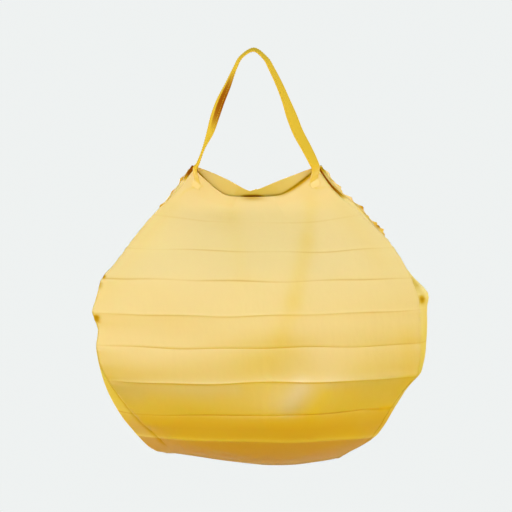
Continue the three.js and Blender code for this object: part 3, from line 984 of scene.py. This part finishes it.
def make_ruffle(name, side):
    """A gathered edge that stands out of a back seam and waves more towards its free edge."""
    seam = RING_STARTS[2] if side > 0 else RING_STARTS[3]
    root_line = RING[:, seam]
    along = unit(RING[:, (seam + 1) % RING.shape[1]] - RING[:, seam - 1])
    top, bottom = RUFFLE_WIDTHS[0][0], RUFFLE_WIDTHS[-1][0]
    inside = (LEVELS >= top) & (LEVELS <= bottom)
    waves = length_along(root_line[inside])[-1] / RUFFLE_WAVE
    level = np.linspace(top, bottom, int(waves * RUFFLE_STEPS))
    root = places_at(level, LEVELS, root_line)
    face = unit(places_at(level, LEVELS, -along))
    lean = np.array([side * RUFFLE_LEAN, 0, 0])
    out = unit(places_at(level, LEVELS, RING_OUT[:, seam]) + lean)
    share = (level - top) / (bottom - top)
    phase = 2 * np.pi * (share * waves + RUFFLE_DRIFT * np.sin(share * RUFFLE_DRIFT_TURN))
    strength = RUFFLE_EVEN + RUFFLE_UNEVEN * np.sin(share * RUFFLE_UNEVEN_TURN)
    swing = RUFFLE_SWING * np.sin(phase) * strength
    widths = through_rows(RUFFLE_WIDTH_COLUMNS, RUFFLE_WIDTHS, level)["left" if side < 0 else "right"]
    reach = widths * (1 - RUFFLE_SCALLOP * np.cos(2 * phase))
    width = np.linspace(0, 1, RUFFLE_COLUMNS + 1)
    start = root + out * (hem_half(level) + RUFFLE_GAP)[:, None]
    points = start[:, None] + out[:, None] * (reach[:, None] * width)[..., None]
    points = points + face[:, None] * (swing[:, None] * width**RUFFLE_CURL)[..., None]
    normals = unit(np.cross(np.gradient(points, axis=0), np.gradient(points, axis=1)))
    piece = cloth_wall(name, points, normals, np.full((len(level), 1), RUFFLE_WALL / 2))
    # Painted highlight on one side of each wave and painted shade on the other.
    mark(piece, "fold", np.sin(phase)[:, None] * width)
    if side > 0:
        dark = np.zeros(len(level))
        for row in TUCK_ROWS:
            tuck = dict(zip(TUCK_COLUMNS, row))
            dark = dark + tuck["shade"] * np.exp(-(((level - tuck["level"]) / tuck["reach"]) ** 2))
        mark(piece, "shade", dark[:, None] * width)
    return piece


# Snap

def make_snap():
    """Two flat halves pressed together, each turned with a rim and a dished face."""
    middle = front_point(np.array(SNAP_LEVEL), np.array(0.0))
    halves = []
    for side in (-1, 1):
        bpy.ops.object.select_all(action="DESELECT")
        bpy.ops.mesh.primitive_cylinder_add(
            vertices=SNAP_SIDES,
            radius=SNAP_RADIUS * MM,
            depth=SNAP_THICK / 2 * SNAP_HALF_SHARE * MM,
            location=(0, 0, side * SNAP_THICK / 4 * MM),
        )
        half = bpy.context.object
        bpy.ops.object.mode_set(mode="EDIT")
        bpy.ops.mesh.select_mode(type="FACE")
        bpy.ops.mesh.select_all(action="DESELECT")
        bpy.ops.object.mode_set(mode="OBJECT")
        for face in half.data.polygons:
            face.select = face.normal.z * side > SNAP_FACING
        bpy.ops.object.mode_set(mode="EDIT")
        bpy.ops.mesh.inset(thickness=SNAP_RADIUS * SNAP_RIM * MM, depth=0)
        bpy.ops.mesh.inset(thickness=SNAP_RADIUS * SNAP_SLOPE * MM, depth=-SNAP_DISH * MM)
        bpy.ops.object.mode_set(mode="OBJECT")
        bevel = half.modifiers.new("rim", "BEVEL")
        bevel.width = SNAP_BEVEL * MM
        bevel.segments = SNAP_BEVEL_STEPS
        bpy.ops.object.modifier_apply(modifier="rim")
        halves.append(half)
    bpy.ops.object.select_all(action="DESELECT")
    for half in halves:
        half.select_set(True)
    snap = halves[0]
    bpy.context.view_layer.objects.active = snap
    bpy.ops.object.join()
    snap.name = "snap_halves"
    snap.rotation_euler = (math.pi / 2, 0, 0)
    snap.location = Vector((middle[0], 0, middle[2])) * MM
    bpy.ops.object.transform_apply(location=True, rotation=True, scale=True)
    bpy.ops.object.shade_smooth_by_angle(angle=math.radians(SNAP_SMOOTH))
    return snap


# Stitches

def stitch_mesh():
    """One stitch along X: a thread that dips into the cloth at both ends."""
    turns = np.linspace(0, 2 * math.pi, STITCH_SIDES, endpoint=False)
    vertices = []
    for along, girth, rise in STITCH_STATIONS:
        for turn in turns:
            aside = math.cos(turn) * girth * STITCH_THICK
            up = (math.sin(turn) * girth + rise) * STITCH_THICK
            vertices.append((along * STITCH_LENGTH, aside, up))
    rings = np.arange(len(vertices)).reshape(-1, STITCH_SIDES)
    after = np.roll(rings, -1, 1)
    faces = np.stack([rings[1:], after[1:], after[:-1], rings[:-1]], -1).reshape(-1, 4).tolist()
    faces += [rings[0].tolist(), rings[-1, ::-1].tolist()]
    return np.array(vertices), faces


def make_stitches(name, lines):
    """Stitches set evenly along lines of places on a cloth, each place with its way out."""
    shape, shape_faces = stitch_mesh()
    vertices, faces = [], []
    for points, out in lines:
        far = length_along(points)
        count = int(far[-1] / STITCH_PITCH)
        for middle in (np.arange(count) + 0.5) * far[-1] / count:
            ends = np.array([middle - STITCH_LENGTH / 2, middle, middle + STITCH_LENGTH / 2])
            spots = places_at(ends, far, points)
            up = unit(places_at(middle, far, out))
            run = unit(spots[2] - spots[0])
            up = unit(up - run * (up @ run))
            turn = np.stack([run, np.cross(up, run), up])
            faces += [tuple(i + len(vertices) for i in face) for face in shape_faces]
            vertices += (spots[1] + shape @ turn).tolist()
    return add_piece(name, vertices, faces)


def strap_stitches():
    edge = 1 - 2 * STRAP_STITCH_INSET / STRAP_WIDTH
    points, out = strap_run(np.array([-edge, edge]))
    seats = (len(LEFT_SEAT) * STRAP_STEPS, len(points) - len(RIGHT_SEAT) * STRAP_STEPS)
    points, out = points[slice(*seats)], out[slice(*seats)]
    lines = []
    for column in range(2):
        for side in (1, -1):
            face = out[:, column] * side
            lines.append((points[:, column] + face * STRAP_WALL / 2, face))
    return make_stitches("strap_stitching", lines)


# Node groups

VALUE = "NodeSocketFloat"
COLOUR = "NodeSocketColor"
WHERE = "NodeSocketVector"


def new_group(name, inputs, outputs):
    group = bpy.data.node_groups.new(name, "ShaderNodeTree")
    for label, kind, value in inputs:
        socket = group.interface.new_socket(label, in_out="INPUT", socket_type=kind)
        if value is not None:
            socket.default_value = value
    for label, kind in outputs:
        group.interface.new_socket(label, in_out="OUTPUT", socket_type=kind)
    return group, group.nodes.new("NodeGroupInput"), group.nodes.new("NodeGroupOutput")


def feed(tree, socket, value):
    """Links another socket to a socket, or gives it a plain value."""
    if isinstance(value, bpy.types.NodeSocket):
        tree.links.new(value, socket)
    elif value is not None:
        socket.default_value = value


def math_node(tree, operation, *values):
    node = tree.nodes.new("ShaderNodeMath")
    node.operation = operation
    for socket, value in zip(node.inputs, values):
        feed(tree, socket, value)
    return node.outputs[0]


def mix_colour(tree, share, a, b):
    node = tree.nodes.new("ShaderNodeMix")
    node.data_type = "RGBA"
    feed(tree, node.inputs["Factor"], share)
    feed(tree, node.inputs[6], a)
    feed(tree, node.inputs[7], b)
    return node.outputs[2]


def noise_node(tree, vector, scale, detail, stretch=None):
    if stretch is not None:
        mapping = tree.nodes.new("ShaderNodeMapping")
        mapping.inputs["Scale"].default_value = stretch
        tree.links.new(vector, mapping.inputs["Vector"])
        vector = mapping.outputs[0]
    node = tree.nodes.new("ShaderNodeTexNoise")
    feed(tree, node.inputs["Vector"], vector)
    feed(tree, node.inputs["Scale"], scale)
    feed(tree, node.inputs["Detail"], detail)
    return node.outputs["Fac"]


def plain_weave_group():
    """Threads over and under each other, from a map in metres."""
    group, inside, outside = new_group(
        "plain_weave", [("Map", WHERE, None), ("Threads", VALUE, 1800.0)], [("Height", VALUE)]
    )
    split = group.nodes.new("ShaderNodeSeparateXYZ")
    group.links.new(inside.outputs["Map"], split.inputs[0])
    turns = math_node(group, "MULTIPLY", inside.outputs["Threads"], 2 * math.pi)
    warp = math_node(group, "SINE", math_node(group, "MULTIPLY", split.outputs["X"], turns))
    weft = math_node(group, "SINE", math_node(group, "MULTIPLY", split.outputs["Y"], turns))
    height = math_node(group, "MULTIPLY_ADD", math_node(group, "MULTIPLY", warp, weft), 0.5, 0.5)
    group.links.new(height, outside.inputs["Height"])
    return group


def cloth_tone_group():
    """Dye that is a little uneven, painted highlight on crests, painted shade in folds and slits, and its
    gloss.
    """
    white = (1, 1, 1, 1)
    group, inside, outside = new_group(
        "cloth_tone_and_painted_shading",
        [
            ("Place", WHERE, None),
            ("Fold", VALUE, 0.0),
            ("Dye", COLOUR, white),
            ("Crest", COLOUR, white),
            ("Deep", COLOUR, white),
            ("Shade", VALUE, 0.0),
            ("Shade Colour", COLOUR, PAINTED_SHADOW_COLOUR),
            ("Second", VALUE, 0.0),
            ("Second Dye", COLOUR, white),
            ("Inner", VALUE, 0.0),
            ("Inner Dye", COLOUR, white),
            ("Gloss", VALUE, 1.0),
            ("Second Gloss", VALUE, 1.0),
            ("Sheen", VALUE, 0.0),
            ("Rough", VALUE, 0.4),
        ],
        [("Colour", COLOUR), ("Roughness", VALUE), ("Gloss", VALUE)],
    )
    given = inside.outputs
    cloud = noise_node(group, given["Place"], CLOUD_SCALE, CLOUD_DETAIL)
    outward = math_node(group, "MAXIMUM", given["Fold"], 0.0)
    inward = math_node(group, "MAXIMUM", math_node(group, "MULTIPLY", given["Fold"], -1.0), 0.0)

    # Second and inner dyes: painted light on the gussets and painted light and shade inside the bag.
    colour = mix_colour(group, given["Second"], given["Dye"], given["Second Dye"])
    colour = mix_colour(group, given["Inner"], colour, given["Inner Dye"])
    colour = mix_colour(group, math_node(group, "MULTIPLY", cloud, CLOUD_TONE), colour, given["Deep"])
    # Painted highlight on crests, painted shade in folds and painted shadow in slits.
    colour = mix_colour(group, math_node(group, "MULTIPLY", outward, CREST_HIGHLIGHT_SHARE), colour, given["Crest"])
    colour = mix_colour(group, math_node(group, "MULTIPLY", inward, FOLD_SHADE_SHARE), colour, given["Deep"])
    colour = mix_colour(group, given["Shade"], colour, given["Shade Colour"])
    group.links.new(colour, outside.inputs["Colour"])

    rough = math_node(group, "MULTIPLY_ADD", cloud, CLOUD_ROUGHNESS, given["Rough"])
    group.links.new(rough, outside.inputs["Roughness"])

    # Gloss, less on the gussets; painted shade takes it away in slits and folds, and painted sheen adds
    # or takes away more.
    change = math_node(group, "SUBTRACT", given["Second Gloss"], given["Gloss"])
    gloss = math_node(group, "MULTIPLY_ADD", change, given["Second"], given["Gloss"])
    in_slit = math_node(group, "MULTIPLY", given["Shade"], SLIT_SHEEN_SHADE)
    in_fold = math_node(group, "MINIMUM", inward, FOLD_SHEEN_SHADE_LIMIT)
    hidden = math_node(group, "MULTIPLY_ADD", in_fold, FOLD_SHEEN_SHADE, in_slit)
    shown = math_node(group, "MAXIMUM", math_node(group, "SUBTRACT", 1.0, hidden), 0.0)
    gain = math_node(group, "ADD", given["Sheen"], 1.0)
    gloss = math_node(group, "MULTIPLY", math_node(group, "MULTIPLY", gloss, shown), gain)
    group.links.new(gloss, outside.inputs["Gloss"])
    return group


def crinkle_group():
    """Soft small creases of handled cloth."""
    group, inside, outside = new_group("crinkle", [("Place", WHERE, None)], [("Height", VALUE)])
    long_creases = noise_node(group, inside.outputs["Place"], *LONG_CREASES)
    fine_creases = noise_node(group, inside.outputs["Place"], *FINE_CREASES)
    height = math_node(group, "MULTIPLY_ADD", fine_creases, FINE_SHARE, long_creases)
    group.links.new(height, outside.inputs["Height"])
    return group


def grain_group():
    """A fine grain of two tones."""
    group, inside, outside = new_group(
        "grain",
        [
            ("Place", WHERE, None),
            ("Scale", VALUE, 900.0),
            ("Detail", VALUE, 2.0),
            ("Dark", COLOUR, (0, 0, 0, 1)),
            ("Pale", COLOUR, (1, 1, 1, 1)),
        ],
        [("Colour", COLOUR), ("Grain", VALUE)],
    )
    given = inside.outputs
    grain = noise_node(group, given["Place"], given["Scale"], given["Detail"])
    group.links.new(mix_colour(group, grain, given["Dark"], given["Pale"]), outside.inputs["Colour"])
    group.links.new(grain, outside.inputs["Grain"])
    return group


GROUPS = {
    "weave": plain_weave_group(),
    "tone": cloth_tone_group(),
    "crinkle": crinkle_group(),
    "grain": grain_group(),
}


# Materials

def new_material(name):
    material = bpy.data.materials.new(name)
    material.use_nodes = True
    tree = material.node_tree
    return material, tree, tree.nodes["Principled BSDF"]


def place_group(tree, key, **values):
    """A node group in a material, with values for its inputs by name."""
    node = tree.nodes.new("ShaderNodeGroup")
    node.node_tree = GROUPS[key]
    for label, value in values.items():
        node.inputs[label.replace("_", " ").title()].default_value = value
    return node


def add_bump(tree, height, strength, distance, under=None):
    bump = tree.nodes.new("ShaderNodeBump")
    bump.inputs["Strength"].default_value = strength
    bump.inputs["Distance"].default_value = distance
    tree.links.new(height, bump.inputs["Height"])
    if under is not None:
        tree.links.new(under, bump.inputs["Normal"])
    return bump.outputs["Normal"]


def cloth_material(name, threads, seep, **tones):
    """Thin woven polyester with a soft satin sheen; seep is how much light goes into it."""
    material, tree, shader = new_material(name)
    place = tree.nodes.new("ShaderNodeTexCoord")
    flat_map = tree.nodes.new("ShaderNodeUVMap")
    flat_map.uv_map = "cloth"
    tone = place_group(tree, "tone", **tones)
    tree.links.new(place.outputs["Object"], tone.inputs["Place"])
    for label in ("fold", "shade", "second", "inner", "sheen"):
        marks = tree.nodes.new("ShaderNodeAttribute")
        marks.attribute_name = label
        tree.links.new(marks.outputs["Fac"], tone.inputs[label.title()])
    tree.links.new(tone.outputs["Colour"], shader.inputs["Base Color"])
    tree.links.new(tone.outputs["Roughness"], shader.inputs["Roughness"])
    tree.links.new(tone.outputs["Gloss"], shader.inputs["Coat Weight"])
    weave = place_group(tree, "weave", threads=threads)
    tree.links.new(flat_map.outputs[0], weave.inputs["Map"])
    crinkle = place_group(tree, "crinkle")
    tree.links.new(place.outputs["Object"], crinkle.inputs["Place"])
    soft = add_bump(tree, crinkle.outputs["Height"], *CREASE_BUMP)
    woven = add_bump(tree, weave.outputs["Height"], *WEAVE_BUMP, soft)
    tree.links.new(woven, shader.inputs["Normal"])
    shader.inputs["IOR"].default_value = CLOTH_IOR
    shader.inputs["Specular IOR Level"].default_value = 0
    shader.inputs["Coat IOR"].default_value = SHEEN_IOR
    shader.inputs["Coat Roughness"].default_value = SHEEN_ROUGHNESS
    shader.inputs["Subsurface Weight"].default_value = seep
    shader.inputs["Subsurface Radius"].default_value = SEEP_RADIUS
    shader.inputs["Subsurface Scale"].default_value = SEEP_SCALE
    return material


def grained_material(name, **tones):
    """One colour with a fine grain; also gives its nodes, to finish it."""
    material, tree, shader = new_material(name)
    place = tree.nodes.new("ShaderNodeTexCoord")
    grain = place_group(tree, "grain", **tones)
    tree.links.new(place.outputs["Object"], grain.inputs["Place"])
    tree.links.new(grain.outputs["Colour"], shader.inputs["Base Color"])
    return material, tree, shader, grain.outputs["Grain"]


def thread_material():
    """Twisted sewing thread, dyed like the strap."""
    material, tree, shader, grain = grained_material(
        "sewing_thread", scale=900, detail=2, dark=(0.64, 0.46, 0.04, 1), pale=(0.77, 0.57, 0.06, 1)
    )
    shader.inputs["Roughness"].default_value = 0.6
    shader.inputs["Specular IOR Level"].default_value = 0
    return material


def snap_material():
    """Moulded plastic dyed to match the cloth, a little scuffed."""
    material, tree, shader, grain = grained_material(
        "snap_plastic", scale=700, detail=4, dark=(0.5, 0.24, 0.02, 1), pale=(0.66, 0.36, 0.04, 1)
    )
    rough = math_node(tree, "MULTIPLY_ADD", grain, 0.2, 0.3)
    tree.links.new(rough, shader.inputs["Roughness"])
    return material


PANEL_DYE = (0.87, 0.63, 0.018, 1)
# Its crest is a painted highlight, deep is both the uneven dye and painted shade in folds, the second dye
# and gloss are painted light on the gussets, and the inner dye is painted light and shade inside the bag.
PANEL_CLOTH = cloth_material(
    "pleated_cloth",
    threads=1900,
    seep=0.3,
    dye=PANEL_DYE,
    crest=(0.9, 0.7, 0.05, 1),
    deep=(0.7, 0.4, 0.008, 1),
    rough=0.37,
    gloss=0.5,
    second_dye=(0.95, 0.74, 0.03, 1),
    second_gloss=0.45,
    inner_dye=(0.79, 0.66, 0.025, 1),
)
STRAP_CLOTH = cloth_material(
    "strap_cloth",
    threads=1600,
    seep=0,
    dye=(0.74, 0.55, 0.055, 1),
    crest=(0.88, 0.66, 0.05, 1),
    deep=(0.72, 0.43, 0.008, 1),
    rough=0.8,
    gloss=0,
    second_dye=PANEL_DYE,
    second_gloss=0.5,
    inner_dye=PANEL_DYE,
)
THREAD = thread_material()
SNAP_PLASTIC = snap_material()


def finish_piece(piece, material, node=None):
    piece.data.materials.clear()
    piece.data.materials.append(material)
    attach(piece, "root")
    if node:
        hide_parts(node)


# The bag

for panel in PANELS:
    finish_piece(make_panel(panel), PANEL_CLOTH, panel)

for ruffle_name, ruffle_side in (("side_ruffle_left", -1), ("side_ruffle_right", 1)):
    ruffle = make_ruffle(ruffle_name + "_cloth", ruffle_side)
    finish_piece(ruffle, PANEL_CLOTH, ruffle_name)

finish_piece(make_strap(), STRAP_CLOTH, "handle_strap")
finish_piece(strap_stitches(), THREAD)
finish_piece(make_snap(), SNAP_PLASTIC, "snap_fastener")


# Floor, light and camera

def make_floor():
    bpy.ops.object.select_all(action="DESELECT")
    bpy.ops.mesh.primitive_plane_add(size=FLOOR_SIZE, location=(0, 0, FLOOR_HEIGHT))
    floor = bpy.context.object
    floor.name = "floor"
    bpy.ops.object.transform_apply(location=True, rotation=True, scale=True)
    material = bpy.data.materials.new("pale_floor")
    material.use_nodes = True
    tree = material.node_tree
    tree.nodes.clear()
    glow = tree.nodes.new("ShaderNodeEmission")
    glow.inputs["Color"].default_value = BACKDROP
    output = tree.nodes.new("ShaderNodeOutputMaterial")
    tree.links.new(glow.outputs[0], output.inputs["Surface"])
    floor.data.materials.append(material)
    floor.visible_diffuse = False
    floor.visible_glossy = False


def add_softbox(name, place, aim, size, glow):
    """A panel of light that only gives gloss; glow is how bright it looks."""
    light = bpy.data.lights.new(name, "AREA")
    light.shape = "RECTANGLE"
    light.size, light.size_y = size
    light.energy = glow * math.pi * size[0] * size[1]
    light.cycles.use_multiple_importance_sampling = False
    softbox = bpy.data.objects.new(name, light)
    bpy.context.collection.objects.link(softbox)
    softbox.location = place
    softbox.rotation_euler = (Vector(aim) - Vector(place)).to_track_quat("-Z", "Y").to_euler()
    softbox.visible_camera = False
    softbox.visible_diffuse = False


def make_softboxes():
    """A ring of tall panels round the bag, one above it and one low behind it."""
    width = 2 * WALL_DISTANCE * math.tan(math.pi / len(WALL_ROWS))
    for order, row in enumerate(WALL_ROWS):
        wall = dict(zip(WALL_COLUMNS, row))
        turn = 2 * math.pi * order / len(WALL_ROWS)
        middle = (WALL_TOP + wall["bottom"]) / 2
        place = (WALL_DISTANCE * math.sin(turn), -WALL_DISTANCE * math.cos(turn), middle)
        size = (width, WALL_TOP - wall["bottom"])
        add_softbox("wall_%d" % order, place, (0, 0, middle), size, wall["glow"])
    roof = (2 * WALL_DISTANCE, 2 * WALL_DISTANCE)
    add_softbox("ceiling", (0, 0, WALL_TOP), (0, 0, 0), roof, CEILING_GLOW)
    add_softbox("underneath", UNDER_PLACE, UNDER_AIM, UNDER_SIZE, UNDER_GLOW)


def make_fill():
    """Even light from all round, warmer from below, behind a plain backdrop."""
    world = bpy.data.worlds.new("studio")
    bpy.context.scene.world = world
    world.use_nodes = True
    world.cycles_visibility.glossy = False
    tree = world.node_tree
    place = tree.nodes.new("ShaderNodeTexCoord")
    split = tree.nodes.new("ShaderNodeSeparateXYZ")
    tree.links.new(place.outputs["Generated"], split.inputs[0])
    height = math_node(tree, "MULTIPLY_ADD", split.outputs["Z"], 0.5, 0.5)
    fill = tree.nodes.new("ShaderNodeValToRGB")
    stops = fill.color_ramp.elements
    while len(stops) < len(FILL_ROWS):
        stops.new(1)
    for stop, (up, *colour) in zip(stops, FILL_ROWS):
        stop.position = (up + 1) / 2
        stop.color = (*colour, 1)
    tree.links.new(height, fill.inputs[0])
    seen = tree.nodes.new("ShaderNodeLightPath").outputs["Is Camera Ray"]
    shown = mix_colour(tree, seen, fill.outputs["Color"], BACKDROP)
    tree.links.new(shown, tree.nodes["Background"].inputs["Color"])
    left = math_node(tree, "MAXIMUM", math_node(tree, "MULTIPLY", split.outputs["X"], -1.0), 0.0)
    unseen = math_node(tree, "SUBTRACT", 1.0, seen)
    gain = math_node(tree, "MULTIPLY_ADD", math_node(tree, "MULTIPLY", left, unseen), FILL_FROM_LEFT, 1.0)
    tree.links.new(gain, tree.nodes["Background"].inputs["Strength"])


def make_camera():
    data = bpy.data.cameras.new("camera")
    data.lens = CAMERA_LENS
    camera = bpy.data.objects.new("camera", data)
    bpy.context.collection.objects.link(camera)
    tilt = math.radians(CAMERA_ELEVATION)
    back = Vector((0, -math.cos(tilt), math.sin(tilt)))
    camera.location = CAMERA_AIM + back * CAMERA_DISTANCE
    camera.rotation_euler = (-back).to_track_quat("-Z", "Y").to_euler()
    bpy.context.scene.camera = camera


make_floor()
make_softboxes()
make_fill()
make_camera()
bpy.context.scene.view_settings.view_transform = "Standard"
